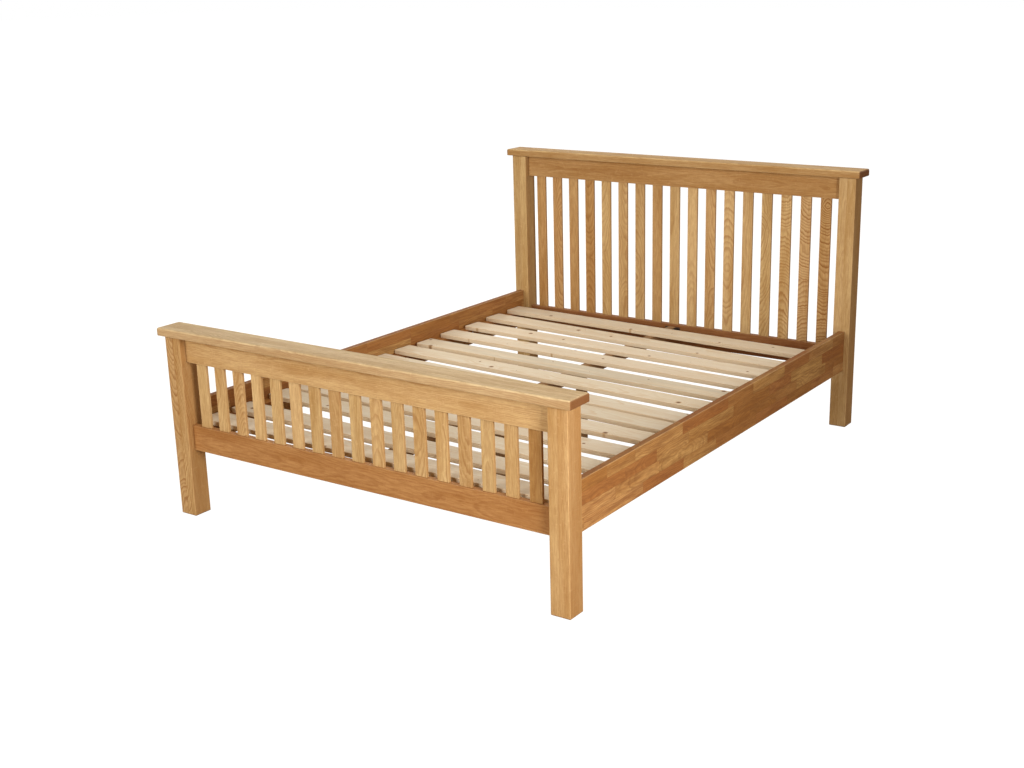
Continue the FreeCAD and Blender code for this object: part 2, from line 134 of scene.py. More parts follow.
class SLATTED_BED_PG_finishes(bpy.types.PropertyGroup):
    """Colours and figure of the timbers."""

    oak_pale: colour("Oak, pale", "Sapwood side of the oak", 0.595, 0.412, 0.194)
    oak_mid: colour("Oak, mid", "Heartwood of the oak", 0.47, 0.292, 0.116)
    oak_line: colour("Oak, rings", "Dark lines of the oak's growth rings", 0.26, 0.105, 0.026)
    oak_deep: colour("Oak, deep", "What a reddish board's colours are multiplied by", 0.75, 0.575, 0.41)
    # This colour is also the painted highlight laid along the arrises of the oak boards.
    oak_ray: colour("Oak, rays", "Pale flecks across the oak's grain", 0.66, 0.46, 0.235)
    oak_end: colour("Oak, end grain", "Dark end grain and other dark lines", 0.18, 0.066, 0.020)
    stave_pale: colour("Staves, pale", "Palest stave of the side rails", 0.60, 0.345, 0.122)
    stave_dark: colour("Staves, dark", "Darkest stave of the side rails", 0.30, 0.112, 0.027)
    pine_pale: colour("Pine, pale", "Early wood of the bed slats", 0.765, 0.695, 0.55)
    # This colour also paints the shade on the pine's arrises and narrow faces.
    pine_line: colour("Pine, rings", "Late wood lines of the bed slats", 0.60, 0.40, 0.19)
    pine_knot: colour("Pine, knots", "Knots in the bed slats", 0.13, 0.045, 0.012)
    pine_rim: colour("Pine, knot rims", "Resin round the knots", 0.40, 0.19, 0.06)
    # Painted shade: this colour darkens the pine under the slats all over, as if in their shade.
    pine_sawn: colour("Pine, sawn", "What the rough, browned pine under the slats is multiplied by", 0.42, 0.29, 0.19)
    pine_stain: colour("Pine, blue stain", "Grey-blue streak in one bed slat", 0.34, 0.33, 0.27)
    black: colour("Black paint", "Paint on the centre rail's hangers and their screws", 0.040, 0.024, 0.017)
    zinc: colour("Zinc", "Bright zinc on the steel fittings", 0.62, 0.63, 0.64)
    oak_ring_width: length("Oak ring width", "Mean width of a growth ring", 0.0045)
    pine_ring_width: length("Pine ring width", "Mean width of a growth ring", 0.0036)


class SLATTED_BED_PG_studio(bpy.types.PropertyGroup):
    """Camera, lights and floor."""

    camera_place: FloatVectorProperty(name="Camera place", description="Where the camera stands", subtype="XYZ",
                                      unit="LENGTH", default=(2.8111, -4.1226, 1.7961))
    camera_turn: FloatProperty(name="Camera turn", description="Angle round the bed, from straight at the foot",
                               subtype="ANGLE", unit="ROTATION", default=math.radians(33.885))
    camera_tilt: FloatProperty(name="Camera tilt", description="Angle above the horizon", subtype="ANGLE",
                               unit="ROTATION", default=math.radians(16.710))
    camera_roll: FloatProperty(name="Camera roll", description="Roll about the line of sight", subtype="ANGLE",
                               unit="ROTATION", default=math.radians(-1.0405))
    lens: FloatProperty(name="Lens", description="Focal length on a 36 mm wide frame", unit="CAMERA", default=48.615)
    shift_right: FloatProperty(name="Shift right", description="Lens shift across", default=-0.03805)
    shift_up: FloatProperty(name="Shift up", description="Lens shift upwards", default=0.0052)
    sky: share("Room light", "Even light from all round", 0.21, 10)
    shine: share("Room shine", "Brightness of the room as polished faces mirror it", 0.5, 10)
    sky_tone: colour("Room tone", "Warm tone of that light, as the room's timber gives it", 1.0, 0.68, 0.40)
    front: share("Front light", "Power of the wide soft light in front of the foot, in watts", 535, 5000)
    side: share("Side light", "Power of the soft light at the right of the foot, in watts", 300, 5000)
    top: share("Top light", "Power of the soft light overhead, in watts", 76, 5000)
    back: share("Back light", "Power of the soft light behind the left side, in watts", 200, 5000)
    floor: colour("Floor", "Plain pale floor", 0.44, 0.36, 0.28)
    glow: share("Floor glow", "Share of plain white in the floor that the camera sees", 0.77)


# Boards

def centre_of(node):
    """Middle of a CAD node."""
    low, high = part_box(node)
    return (low + high) / 2


def half_of(node):
    """Half sizes of a CAD node."""
    low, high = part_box(node)
    return (high - low) / 2


def rounded_outline(half_u, half_v, radius, steps=5):
    """Points round a rectangle with rounded corners, anticlockwise."""
    points = []
    for quarter, (side_u, side_v) in enumerate(((1, 1), (-1, 1), (-1, -1), (1, -1))):
        for step in range(steps + 1):
            turn = math.radians(90 * (quarter + step / steps))
            points.append((side_u * (half_u - radius) + radius * math.cos(turn),
                           side_v * (half_v - radius) + radius * math.sin(turn)))
    return points


def edge_levels(half_w, low_edge, high_edge, steps=4, flat=False):
    """Heights and insets of the outlines that round a board's edges. A flat lower edge is a chamfer."""
    turns = [math.radians(90 * step / steps) for step in range(steps + 1)]
    if flat:
        low = [(-half_w, low_edge), (-half_w + low_edge, 0.0)]
    else:
        low = [(-half_w + low_edge * (1 - math.cos(turn)), low_edge * (1 - math.sin(turn))) for turn in turns]
    high = [(half_w - high_edge * (1 - math.sin(turn)), high_edge * (1 - math.cos(turn))) for turn in turns]
    return low + high


def board_mesh(half, plan, corner, low_edge, high_edge, flat=False):
    """Closed board about the origin. plan names the two axes of its outline; the third is lofted."""
    u, v = plan
    w = 3 - u - v
    bm = bmesh.new()
    rings = []
    for height, inset in edge_levels(half[w], low_edge, high_edge, flat=flat):
        ring = []
        for across, up in rounded_outline(half[u] - inset, half[v] - inset, max(corner - inset, LEAST_CORNER)):
            place = Vector((0, 0, 0))
            place[u], place[v], place[w] = across, up, height
            ring.append(bm.verts.new(place))
        rings.append(ring)
    for lower, upper in zip(rings, rings[1:]):
        for here in range(len(lower)):
            there = (here + 1) % len(lower)
            bm.faces.new((lower[here], lower[there], upper[there], upper[here]))
    bm.faces.new(rings[0])
    bm.faces.new(rings[-1])
    bmesh.ops.recalc_face_normals(bm, faces=bm.faces)
    for face in bm.faces:
        face.smooth = True
    return bm


def write_grain(mesh, half, grain_axes, stave, block, seed, tint, figure):
    """Stores what the timber materials read: place in the board, its half sizes and how it is glued up."""
    along, across, thick = grain_axes
    for name, kind in (("grain", "FLOAT_VECTOR"), ("half", "FLOAT_VECTOR"), ("build", "FLOAT_VECTOR"),
                       ("tint", "FLOAT"), ("figure", "FLOAT")):
        mesh.attributes.new(name, kind, "POINT")
    for index, vertex in enumerate(mesh.vertices):
        place = vertex.co
        mesh.attributes["grain"].data[index].vector = (place[along], place[across], place[thick])
        mesh.attributes["half"].data[index].vector = (half[along], half[across], half[thick])
        mesh.attributes["build"].data[index].vector = (stave, block, seed)
        mesh.attributes["tint"].data[index].value = tint
        mesh.attributes["figure"].data[index].value = figure


def place_board(name, bm, half, centre, grain_axes, material, nodes, stave=None, block=UNBUTTED, tint=0.0,
                turn=0.0, figure=1.0):
    """Turns a bmesh board into a piece of the bed that stands for its CAD node."""
    seed = random.Random(name).random()
    mesh = bpy.data.meshes.new(name)
    bm.to_mesh(mesh)
    bm.free()
    write_grain(mesh, half, grain_axes, stave or WHOLE_BOARD * half[grain_axes[1]], block, seed, tint, figure)
    mesh.materials.append(material)
    board = bpy.data.objects.new(name, mesh)
    bpy.context.scene.collection.objects.link(board)
    board.location = centre
    board.rotation_euler = (0, 0, turn)
    soft = board.modifiers.new("even_shading", "WEIGHTED_NORMAL")
    soft.weight = 100
    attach(board, BODY)
    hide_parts(*nodes)
    return board


# Node trees

class Bench:
    """Adds wired nodes to one tree. add gives back its node, and the others give back what their nodes put out."""

    def __init__(self, tree):
        self.tree = tree

    def add(self, kind, settings=None, inputs=None):
        """A node of one kind, with its settings, and its inputs fed."""
        node = self.tree.nodes.new(kind)
        for key, value in (settings or {}).items():
            setattr(node, key, value)
        for key, value in (inputs or {}).items():
            self.feed(node.inputs[key], value)
        return node

    def feed(self, socket, value):
        """Links an output to a socket, or sets a plain value on it."""
        if isinstance(value, bpy.types.NodeSocket):
            self.tree.links.new(value, socket)
        else:
            socket.default_value = value

    def calc(self, operation, first, second=0.0, third=0.0):
        """Plain arithmetic on numbers."""
        node = self.add("ShaderNodeMath", {"operation": operation})
        for socket, value in zip(node.inputs, (first, second, third)):
            self.feed(socket, value)
        return node.outputs[0]

    def split(self, vector):
        """The three parts of a vector."""
        node = self.add("ShaderNodeSeparateXYZ", inputs={"Vector": vector})
        return node.outputs[0], node.outputs[1], node.outputs[2]

    def join(self, x, y, z):
        """A vector from its three parts."""
        return self.add("ShaderNodeCombineXYZ", inputs={"X": x, "Y": y, "Z": z}).outputs[0]

    def vector(self, operation, first, second):
        """Arithmetic on two vectors."""
        node = self.add("ShaderNodeVectorMath", {"operation": operation})
        self.feed(node.inputs[0], first)
        self.feed(node.inputs[1], second)
        return node.outputs[0]

    def step(self, value, low, high, least=0.0, most=1.0):
        """Smooth step of a value between two limits."""
        node = self.add("ShaderNodeMapRange", {"interpolation_type": "SMOOTHSTEP", "clamp": True},
                        {"Value": value, "From Min": low, "From Max": high, "To Min": least, "To Max": most})
        return node.outputs[0]

    def noise(self, vector, scale=1.0, detail=2.0, roughness=0.5):
        """Soft clouds from nought to one."""
        node = self.add("ShaderNodeTexNoise", {"noise_dimensions": "3D"},
                        {"Vector": vector, "Scale": scale, "Detail": detail, "Roughness": roughness})
        return node.outputs[0]

    def stretched(self, grain, along, across, detail=2.0, roughness=0.5, shift=0.0):
        """Noise with its own scale along and across the grain."""
        moved = self.vector("MULTIPLY", grain, (along, across, across))
        moved = self.vector("ADD", moved, (shift, shift * 1.7, shift * 2.3))
        return self.noise(moved, 1.0, detail, roughness)

    def mix(self, factor, first, second, blend="MIX"):
        """Blends two colours."""
        node = self.add("ShaderNodeMix", {"data_type": "RGBA", "blend_type": blend, "clamp_factor": True})
        self.feed(node.inputs[0], factor)
        self.feed(node.inputs[6], first)
        self.feed(node.inputs[7], second)
        return node.outputs[2]

    def wash(self, base, mask, strength, colour):
        """Lays a colour over a base where a mask is bright."""
        return self.mix(self.calc("MULTIPLY", mask, strength), base, whole(colour))

    def attribute(self, name, output="Vector"):
        """What write_grain stored on the mesh."""
        return self.add("ShaderNodeAttribute", {"attribute_name": name}).outputs[output]

    def group(self, tree, inputs):
        """A shared node group, with its inputs fed."""
        node = self.add("ShaderNodeGroup", {"node_tree": tree})
        for key, value in inputs.items():
            self.feed(node.inputs[key], value)
        return node.outputs


def new_group(name, inputs, outputs):
    """An empty shader node group with named sockets, its bench, its inputs and its output node."""
    tree = bpy.data.node_groups.new(name, "ShaderNodeTree")
    for label, kind, value in inputs:
        item = tree.interface.new_socket(name=label, in_out="INPUT", socket_type="NodeSocket" + kind)
        if value is not None:
            item.default_value = value
    for label, kind in outputs:
        tree.interface.new_socket(name=label, in_out="OUTPUT", socket_type="NodeSocket" + kind)
    bench = Bench(tree)
    return tree, bench, bench.add("NodeGroupInput").outputs, bench.add("NodeGroupOutput").inputs


def made_once(make):
    """Keeps the first result of a function that builds a node group or a material."""
    kept = []

    def get():
        if not kept:
            kept.append(make())
        return kept[0]
    return get


@made_once
def glued_staves():
    """Rows of staves, butted end to end: each has its own tone and its own part of the log."""
    tree, b, given, out = new_group(
        "Glued staves",
        [("Grain", "Vector", None), ("Half", "Vector", None), ("Build", "Vector", None), ("Scatter", "Float", 0.7)],
        [("Stave Grain", "Vector"), ("Tone", "Color"), ("Joint", "Float")])
    along, across = b.split(given["Grain"])[:2]
    half_across = b.split(given["Half"])[1]
    stave, block, seed = b.split(given["Build"])
    row_place = b.calc("DIVIDE", b.calc("ADD", across, half_across), stave)
    row = b.calc("FLOOR", row_place)
    place = b.calc("DIVIDE", along, block)
    place = b.calc("MULTIPLY_ADD", row, 37.31, place)
    place = b.calc("MULTIPLY_ADD", seed, 5371.7, place)
    cell = b.add("ShaderNodeTexVoronoi", {"voronoi_dimensions": "1D", "feature": "F1"},
                 {"W": place, "Scale": 1.0, "Randomness": given["Scatter"]})
    butt = b.add("ShaderNodeTexVoronoi", {"voronoi_dimensions": "1D", "feature": "DISTANCE_TO_EDGE"},
                 {"W": place, "Scale": 1.0, "Randomness": given["Scatter"]})
    tone = cell.outputs["Color"]
    shift = b.vector("MULTIPLY", b.vector("SUBTRACT", tone, (0.5, 0.5, 0.5)), (6.0, 0.06, 0.03))
    b.feed(out["Stave Grain"], b.vector("ADD", given["Grain"], shift))
    b.feed(out["Tone"], tone)
    butt_gap = b.calc("MULTIPLY", butt.outputs["Distance"], block)
    in_row = b.calc("FRACT", row_place)
    row_gap = b.calc("MULTIPLY", b.calc("MINIMUM", in_row, b.calc("SUBTRACT", 1.0, in_row)), stave)
    near = b.calc("MINIMUM", butt_gap, row_gap)
    b.feed(out["Joint"], b.step(near, 0.0002, 0.0009, 1.0, 0.0))
    return tree


@made_once
def growth_rings():
    """Rings about a wandering pith, with pores and rays: the solid figure of a plank."""
    tree, b, given, out = new_group(
        "Growth rings",
        [("Grain", "Vector", None), ("Tone", "Color", None), ("Ring Width", "Float", 0.004),
         ("Pith Depth", "Float", 0.06), ("Wander", "Float", 0.05), ("Pace", "Float", 1.6), ("Bulge", "Float", 0.0),
         ("Sway", "Float", 0.01), ("Slope", "Float", 0.0)],
        [("Rings", "Float"), ("Pores", "Float"), ("Rays", "Float"), ("Flecks", "Float"), ("Blotch", "Float")])
    grain = given["Grain"]
    along, across, thick = b.split(grain)
    chance_a, chance_b, chance_c = b.split(given["Tone"])
    slow = b.noise(b.join(b.calc("MULTIPLY", along, given["Pace"]), b.calc("MULTIPLY", chance_a, 40.0), chance_b),
                   1.0, 3.0, 0.5)
    wander = b.calc("MULTIPLY", b.calc("SUBTRACT", slow, 0.5), given["Wander"])
    depth = b.calc("MULTIPLY", given["Pith Depth"], b.calc("ADD", chance_b, 0.35))
    aside = b.calc("MULTIPLY", b.calc("SUBTRACT", chance_c, 0.5), 0.07)
    side = b.calc("ADD", across, aside)
    deep = b.calc("ADD", b.calc("ADD", thick, depth), wander)
    deep = b.calc("MULTIPLY_ADD", b.calc("PINGPONG", along, 0.45), given["Slope"], deep)
    radius = b.calc("SQRT", b.calc("ADD", b.calc("MULTIPLY", side, side), b.calc("MULTIPLY", deep, deep)))
    ripple = b.calc("SUBTRACT", b.stretched(grain, 12.0, 60.0, 3.0, 0.6), 0.5)
    radius = b.calc("MULTIPLY_ADD", ripple, 0.005, radius)
    radius = b.calc("ADD", radius, given["Bulge"])
    phase = b.calc("DIVIDE", radius, given["Ring Width"])
    part = b.calc("FRACT", phase)
    chance = b.add("ShaderNodeTexWhiteNoise", {"noise_dimensions": "1D"}, {"W": b.calc("FLOOR", phase)}).outputs[0]
    line = b.calc("MULTIPLY", b.step(part, 0.25, 0.85), b.step(part, 0.9, 1.0, 1.0, 0.0))
    b.feed(out["Rings"], b.calc("MULTIPLY", line, b.calc("MULTIPLY_ADD", chance, 0.6, 0.4)))
    sway = b.calc("MULTIPLY", b.calc("SUBTRACT", b.stretched(grain, 5.0, 9.0, 2.0, 0.5, 9.1), 0.5), given["Sway"])
    grain = b.vector("ADD", grain, b.join(0.0, sway, 0.0))
    pores = b.step(b.stretched(grain, 42.0, 420.0, 3.0, 0.6, 3.1), 0.5, 0.72)
    b.feed(out["Pores"], b.calc("MULTIPLY", pores, b.calc("SUBTRACT", 1.0, b.calc("MULTIPLY", line, 0.5))))
    b.feed(out["Rays"], b.step(b.noise(b.vector("MULTIPLY", grain, (150.0, 60.0, 30.0)), 1.0, 1.0, 0.5), 0.62, 0.74))
    b.feed(out["Flecks"], b.step(b.stretched(grain, 24.0, 220.0, 3.0, 0.65, 5.3), 0.38, 0.64))
    b.feed(out["Blotch"], b.step(b.stretched(grain, 2.8, 22.0, 3.0, 0.55, 7.7), 0.32, 0.68))
    return tree


@made_once
def eased_edges():
    """Masks for the arrises of a board and for its end grain, from its place and half sizes."""
    tree, b, given, out = new_group(
        "Eased edges", [("Grain", "Vector", None), ("Half", "Vector", None), ("Reach", "Float", 0.004)],
        [("Edge", "Float"), ("End", "Float"), ("Side", "Float")])
    gap = b.vector("SUBTRACT", given["Half"], b.add("ShaderNodeVectorMath", {"operation": "ABSOLUTE"},
                                                     {0: given["Grain"]}).outputs[0])
    one, two, three = b.split(gap)
    middle = b.calc("MAXIMUM", b.calc("MINIMUM", one, two), b.calc("MINIMUM", b.calc("MAXIMUM", one, two), three))
    b.feed(out["Edge"], b.step(middle, 0.0, given["Reach"], 1.0, 0.0))
    b.feed(out["End"], b.step(one, 0.0004, 0.005, 1.0, 0.0))
    b.feed(out["Side"], b.step(two, 0.0003, 0.002, 1.0, 0.0))
    return tree


@made_once
def pine_knots():
    """Round knots scattered along a board: the knot, its dark rim and how far it pushes the rings aside."""
    tree, b, given, out = new_group(
        "Pine knots", [("Grain", "Vector", None), ("Spacing", "Float", 0.22), ("Size", "Float", 0.009)],
        [("Knot", "Float"), ("Rim", "Float"), ("Bulge", "Float")])
    along, across = b.split(given["Grain"])[:2]
    spacing = given["Spacing"]
    cell_across = 0.075
    flat = b.join(b.calc("DIVIDE", along, spacing), b.calc("DIVIDE", across, cell_across), 0.0)
    cell = b.add("ShaderNodeTexVoronoi", {"voronoi_dimensions": "2D", "feature": "F1"},
                 {"Vector": flat, "Scale": 1.0, "Randomness": 0.95})
    away = b.vector("SUBTRACT", flat, cell.outputs["Position"])
    away_along = b.calc("MULTIPLY", b.split(away)[0], spacing)
    away_across = b.calc("MULTIPLY", b.split(away)[1], cell_across)
    distance = b.calc("SQRT", b.calc("ADD", b.calc("MULTIPLY", away_along, away_along),
                                     b.calc("MULTIPLY", away_across, away_across)))
    chance = b.split(cell.outputs["Color"])[0]
    size = b.calc("MULTIPLY", given["Size"], b.step(chance, 0.3, 0.8))
    reach = b.calc("DIVIDE", distance, b.calc("MAXIMUM", size, 0.0001))
    b.feed(out["Knot"], b.step(reach, 0.55, 1.0, 1.0, 0.0))
    b.feed(out["Rim"], b.calc("MULTIPLY", b.step(reach, 0.6, 0.9), b.step(reach, 0.95, 1.35, 1.0, 0.0)))
    b.feed(out["Bulge"], b.calc("MULTIPLY", b.step(reach, 0.6, 4.5, 1.0, 0.0), b.calc("MULTIPLY", size, 1.1)))
    return tree


@made_once
def board_tone():
    """Shifts a colour by a stave's own tone and by the board's tint."""
    tree, b, given, out = new_group(
        "Board tone",
        [("Base", "Color", None), ("Deep", "Color", None), ("Tone", "Color", None), ("Tint", "Float", 0.0),
         ("Spread", "Float", 0.1), ("Hue Spread", "Float", 0.005)],
        [("Color", "Color")])
    chance_a, chance_b, chance_c = b.split(given["Tone"])
    tint = given["Tint"]
    value = b.calc("MULTIPLY_ADD", b.calc("SUBTRACT", chance_a, 0.5), given["Spread"], 1.0)
    hue = b.calc("MULTIPLY_ADD", b.calc("SUBTRACT", chance_c, 0.5), given["Hue Spread"], 0.5)
    bleach = b.calc("MINIMUM", tint, 0.0)
    hue = b.calc("MULTIPLY_ADD", bleach, -0.06, hue)
    value = b.calc("MULTIPLY", value, b.calc("MULTIPLY_ADD", bleach, -1.2, 1.0))
    deep = b.calc("MAXIMUM", b.calc("SUBTRACT", tint, 1.0), 0.0)
    hue = b.calc("MULTIPLY_ADD", deep, -0.05, hue)
    value = b.calc("MULTIPLY", value, b.calc("SUBTRACT", 1.0, deep))
    base = b.mix(tint, given["Base"], given["Deep"], "MULTIPLY")
    shifted = b.add("ShaderNodeHueSaturation", inputs={"Hue": hue, "Saturation": b.calc("ADD", bleach, 1.0),
                                                       "Value": value, "Fac": 1.0, "Color": base})
    b.feed(out["Color"], shifted.outputs[0])
    return tree


@made_once
def open_grain():
    """Height of an oak face, which sinks at its pores, its rings and its glue lines."""
    tree, b, given, out = new_group(
        "Open grain", [("Pores", "Float", 0.0), ("Rings", "Float", 0.0), ("Joint", "Float", 0.0)],
        [("Height", "Float")])
    height = b.calc("MULTIPLY_ADD", given["Pores"], -1.0, b.calc("MULTIPLY", given["Rings"], -0.4))
    b.feed(out["Height"], b.calc("MULTIPLY_ADD", given["Joint"], -0.8, height))
    return tree


def new_material(name):
    """An empty material, its bench and its Principled shader."""
    material = bpy.data.materials.new(name)
    material.use_nodes = True
    material.node_tree.nodes.clear()
    bench = Bench(material.node_tree)
    shader = bench.add("ShaderNodeBsdfPrincipled")
    target = bench.add("ShaderNodeOutputMaterial")
    bench.tree.links.new(shader.outputs[0], target.inputs["Surface"])
    return material, bench, shader


def whole(value):
    """A three-part colour with full alpha."""
    return (*value, 1.0)


def toned(b, base, tone, tint, spread, hue_spread):
    """A timber's colour in its board's tone."""
    deep = whole(bpy.context.scene.slatted_bed_finishes.oak_deep)
    return b.group(board_tone(), {"Base": base, "Deep": deep, "Tone": tone, "Tint": tint, "Spread": spread,
                                  "Hue Spread": hue_spread})[0]


def relief(b, shader, height, depth):
    """Fine relief, such as open grain, as deep as depth in metres."""
    bump = b.add("ShaderNodeBump", inputs={"Strength": 0.35, "Distance": depth, "Height": height})
    b.feed(shader.inputs["Normal"], bump.outputs[0])


@made_once
def golden_oak():
    """Satin-lacquered oak: rings that the figure makes bolder and steeper, pores, pale rays, dark end grain and a
    painted highlight along the arrises.
    """
    finish = bpy.context.scene.slatted_bed_finishes
    material, b, shader = new_material("golden_oak")
    shader.inputs["Specular IOR Level"].default_value = 0.25
    grain, half, build = b.attribute("grain"), b.attribute("half"), b.attribute("build")
    tint = b.attribute("tint", "Fac")
    figure = b.attribute("figure", "Fac")
    bold = b.calc("MAXIMUM", b.calc("SUBTRACT", figure, 0.6), 0.0)
    pace = b.calc("ADD", b.calc("MULTIPLY_ADD", b.split(build)[2], 1.4, 1.0), b.calc("MULTIPLY", bold, 2.5))
    staves = b.group(glued_staves(), {"Grain": grain, "Half": half, "Build": build})
    rings = b.group(growth_rings(), {"Grain": staves["Stave Grain"], "Tone": staves["Tone"],
                                     "Ring Width": finish.oak_ring_width, "Pith Depth": 0.06, "Wander": 0.075,
                                     "Pace": pace, "Slope": b.calc("MULTIPLY", bold, 0.3)})
    edges = b.group(eased_edges(), {"Grain": grain, "Half": half, "Reach": 0.006})
    base = b.mix(rings["Blotch"], whole(finish.oak_pale), whole(finish.oak_mid))
    base = b.wash(base, b.calc("MULTIPLY", rings["Rings"], 0.6), figure, finish.oak_line)
    base = b.wash(base, rings["Flecks"], 0.28, finish.oak_line)
    base = b.wash(base, rings["Pores"], 0.3, finish.oak_line)
    base = b.wash(base, rings["Rays"], 0.2, finish.oak_ray)
    base = toned(b, base, staves["Tone"], tint, 0.1, 0.005)
    base = b.wash(base, staves["Joint"], 0.4, finish.oak_line)
    # Painted highlight: the arrises are lightened as if they caught the light.
    base = b.wash(base, edges["Edge"], 0.1, finish.oak_ray)
    base = b.wash(base, edges["End"], 0.95, finish.oak_end)
    b.feed(shader.inputs["Base Color"], base)
    rough = b.calc("MULTIPLY_ADD", rings["Pores"], 0.2, 0.4)
    rough = b.calc("MULTIPLY_ADD", rings["Blotch"], 0.08, rough)
    b.feed(shader.inputs["Roughness"], b.calc("MULTIPLY_ADD", edges["Edge"], -0.06, rough))
    height = b.group(open_grain(), {"Pores": rings["Pores"], "Rings": rings["Rings"], "Joint": staves["Joint"]})[0]
    relief(b, shader, height, depth=0.0003)
    return material


@made_once
def stave_oak():
    """Finger-jointed oak staves of the side rails, each block with its own tone and figure, and a painted highlight
    along the arrises.
    """
    finish = bpy.context.scene.slatted_bed_finishes
    material, b, shader = new_material("stave_oak")
    shader.inputs["Specular IOR Level"].default_value = 0.2
    grain, half, build = b.attribute("grain"), b.attribute("half"), b.attribute("build")
    tint = b.attribute("tint", "Fac")
    staves = b.group(glued_staves(), {"Grain": grain, "Half": half, "Build": build, "Scatter": 0.85})
    rings = b.group(growth_rings(), {"Grain": staves["Stave Grain"], "Tone": staves["Tone"],
                                     "Ring Width": 0.005, "Pith Depth": 0.04, "Wander": 0.09, "Pace": 3.2,
                                     "Sway": 0.05})
    edges = b.group(eased_edges(), {"Grain": grain, "Half": half, "Reach": 0.004})
    chance = b.split(staves["Tone"])[0]
    base = b.mix(b.step(chance, 0.0, 1.0, 0.0, 0.8), whole(finish.stave_pale), whole(finish.stave_dark))
    streak = b.step(b.stretched(staves["Stave Grain"], 7.0, 70.0, 3.0, 0.6, 2.2), 0.42, 0.66)
    base = b.wash(base, rings["Blotch"], 0.5, finish.stave_dark)
    base = b.wash(base, streak, 0.45, finish.oak_end)
    base = b.wash(base, rings["Rings"], 0.45, finish.oak_end)
    base = b.wash(base, rings["Flecks"], 0.25, finish.oak_end)
    base = b.wash(base, rings["Pores"], 0.25, finish.oak_end)
    base = toned(b, base, staves["Tone"], tint, 0.1, 0.008)
    base = b.wash(base, staves["Joint"], 0.5, finish.oak_end)
    # Painted highlight: the arrises of the side rails are lightened as if they caught the light.
    base = b.wash(base, edges["Edge"], 0.3, finish.oak_ray)
    b.feed(shader.inputs["Base Color"], base)
    rough = b.calc("MULTIPLY_ADD", rings["Pores"], 0.2, 0.42)
    b.feed(shader.inputs["Roughness"], b.calc("MULTIPLY_ADD", rings["Blotch"], 0.08, rough))
    height = b.group(open_grain(), {"Pores": rings["Pores"], "Rings": rings["Rings"], "Joint": staves["Joint"]})[0]
    relief(b, shader, height, depth=0.0003)
    return material


def pine_colour(b, finish, rings, knots, tone):
    """Colour of pine from its rings and knots."""
    base = b.wash(whole(finish.pine_pale), rings["Rings"], 0.5, finish.pine_line)
    base = b.wash(base, rings["Blotch"], 0.18, finish.pine_line)
    base = b.wash(base, rings["Pores"], 0.1, finish.pine_line)
    base = b.wash(base, rings["Flecks"], 0.12, finish.pine_line)
    base = toned(b, base, tone, 0.0, 0.08, 0.004)
    base = b.wash(base, knots["Knot"], 0.92, finish.pine_knot)
    return b.wash(base, knots["Rim"], 0.6, finish.pine_rim)


@made_once
def pale_pine():
    """Pine with close rings and small knots, and painted shade on its arrises and narrow faces. Tint adds grey-blue
    streaks, and with no figure the pine is darkened all over by painted shade, as under the slats.
    """
    finish = bpy.context.scene.slatted_bed_finishes
    material, b, shader = new_material("pale_pine")
    shader.inputs["Specular IOR Level"].default_value = 0.25
    grain, half, build = b.attribute("grain"), b.attribute("half"), b.attribute("build")
    tint = b.attribute("tint", "Fac")
    staves = b.group(glued_staves(), {"Grain": grain, "Half": half, "Build": build})
    knots = b.group(pine_knots(), {"Grain": staves["Stave Grain"]})
    rings = b.group(growth_rings(), {"Grain": staves["Stave Grain"], "Tone": staves["Tone"],
                                     "Ring Width": finish.pine_ring_width, "Pith Depth": 0.09, "Wander": 0.05,
                                     "Bulge": knots["Bulge"]})
    edges = b.group(eased_edges(), {"Grain": grain, "Half": half, "Reach": 0.004})
    base = pine_colour(b, finish, rings, knots, staves["Tone"])
    streak = b.step(b.stretched(grain, 1.5, 22.0, 3.0, 0.55, 4.0), 0.42, 0.6)
    base = b.wash(base, b.calc("MULTIPLY", streak, tint), 0.25, finish.pine_stain)
    # Painted shade: the arrises and the narrow faces of the pine are darkened as if turned from the light.
    base = b.wash(base, edges["Edge"], 0.25, finish.pine_line)
    base = b.wash(base, edges["Side"], 0.3, finish.pine_line)
    base = b.wash(base, edges["End"], 0.35, finish.pine_line)
    # Painted shade: with no figure the pine is darkened all over, as under the slats.
    base = b.mix(b.calc("SUBTRACT", 1.0, b.attribute("figure", "Fac")), base, whole(finish.pine_sawn), "MULTIPLY")
    b.feed(shader.inputs["Base Color"], base)
    b.feed(shader.inputs["Roughness"], b.calc("MULTIPLY_ADD", rings["Rings"], -0.12, 0.62))
    height = b.calc("MULTIPLY_ADD", knots["Rim"], -0.6, rings["Rings"])
    relief(b, shader, height, depth=0.0002)
    return material


@made_once
def batten_oak():
    """Plain oak of the ledges, which keep their CAD mesh, so its rings follow their place in the bed."""
    finish = bpy.context.scene.slatted_bed_finishes
    material, b, shader = new_material("batten_oak")
    x, y, z = b.split(b.add("ShaderNodeTexCoord").outputs["Object"])
    tone = b.add("ShaderNodeTexWhiteNoise", {"noise_dimensions": "1D"}, {"W": b.calc("SIGN", x)}).outputs["Color"]
    rings = b.group(growth_rings(), {"Grain": b.join(y, z, x), "Tone": tone, "Ring Width": finish.oak_ring_width,
                                     "Pith Depth": 0.05, "Wander": 0.06})
    base = b.mix(rings["Blotch"], whole(finish.stave_pale), whole(finish.stave_dark))
    base = b.wash(base, rings["Rings"], 0.5, finish.oak_end)
    base = b.wash(base, rings["Flecks"], 0.3, finish.oak_end)
    b.feed(shader.inputs["Base Color"], toned(b, base, tone, 1.0, 0.1, 0.005))
    b.feed(shader.inputs["Roughness"], b.calc("MULTIPLY_ADD", rings["Pores"], 0.2, 0.55))
    relief(b, shader, b.calc("MULTIPLY", rings["Pores"], -1.0), depth=0.0003)
    return material


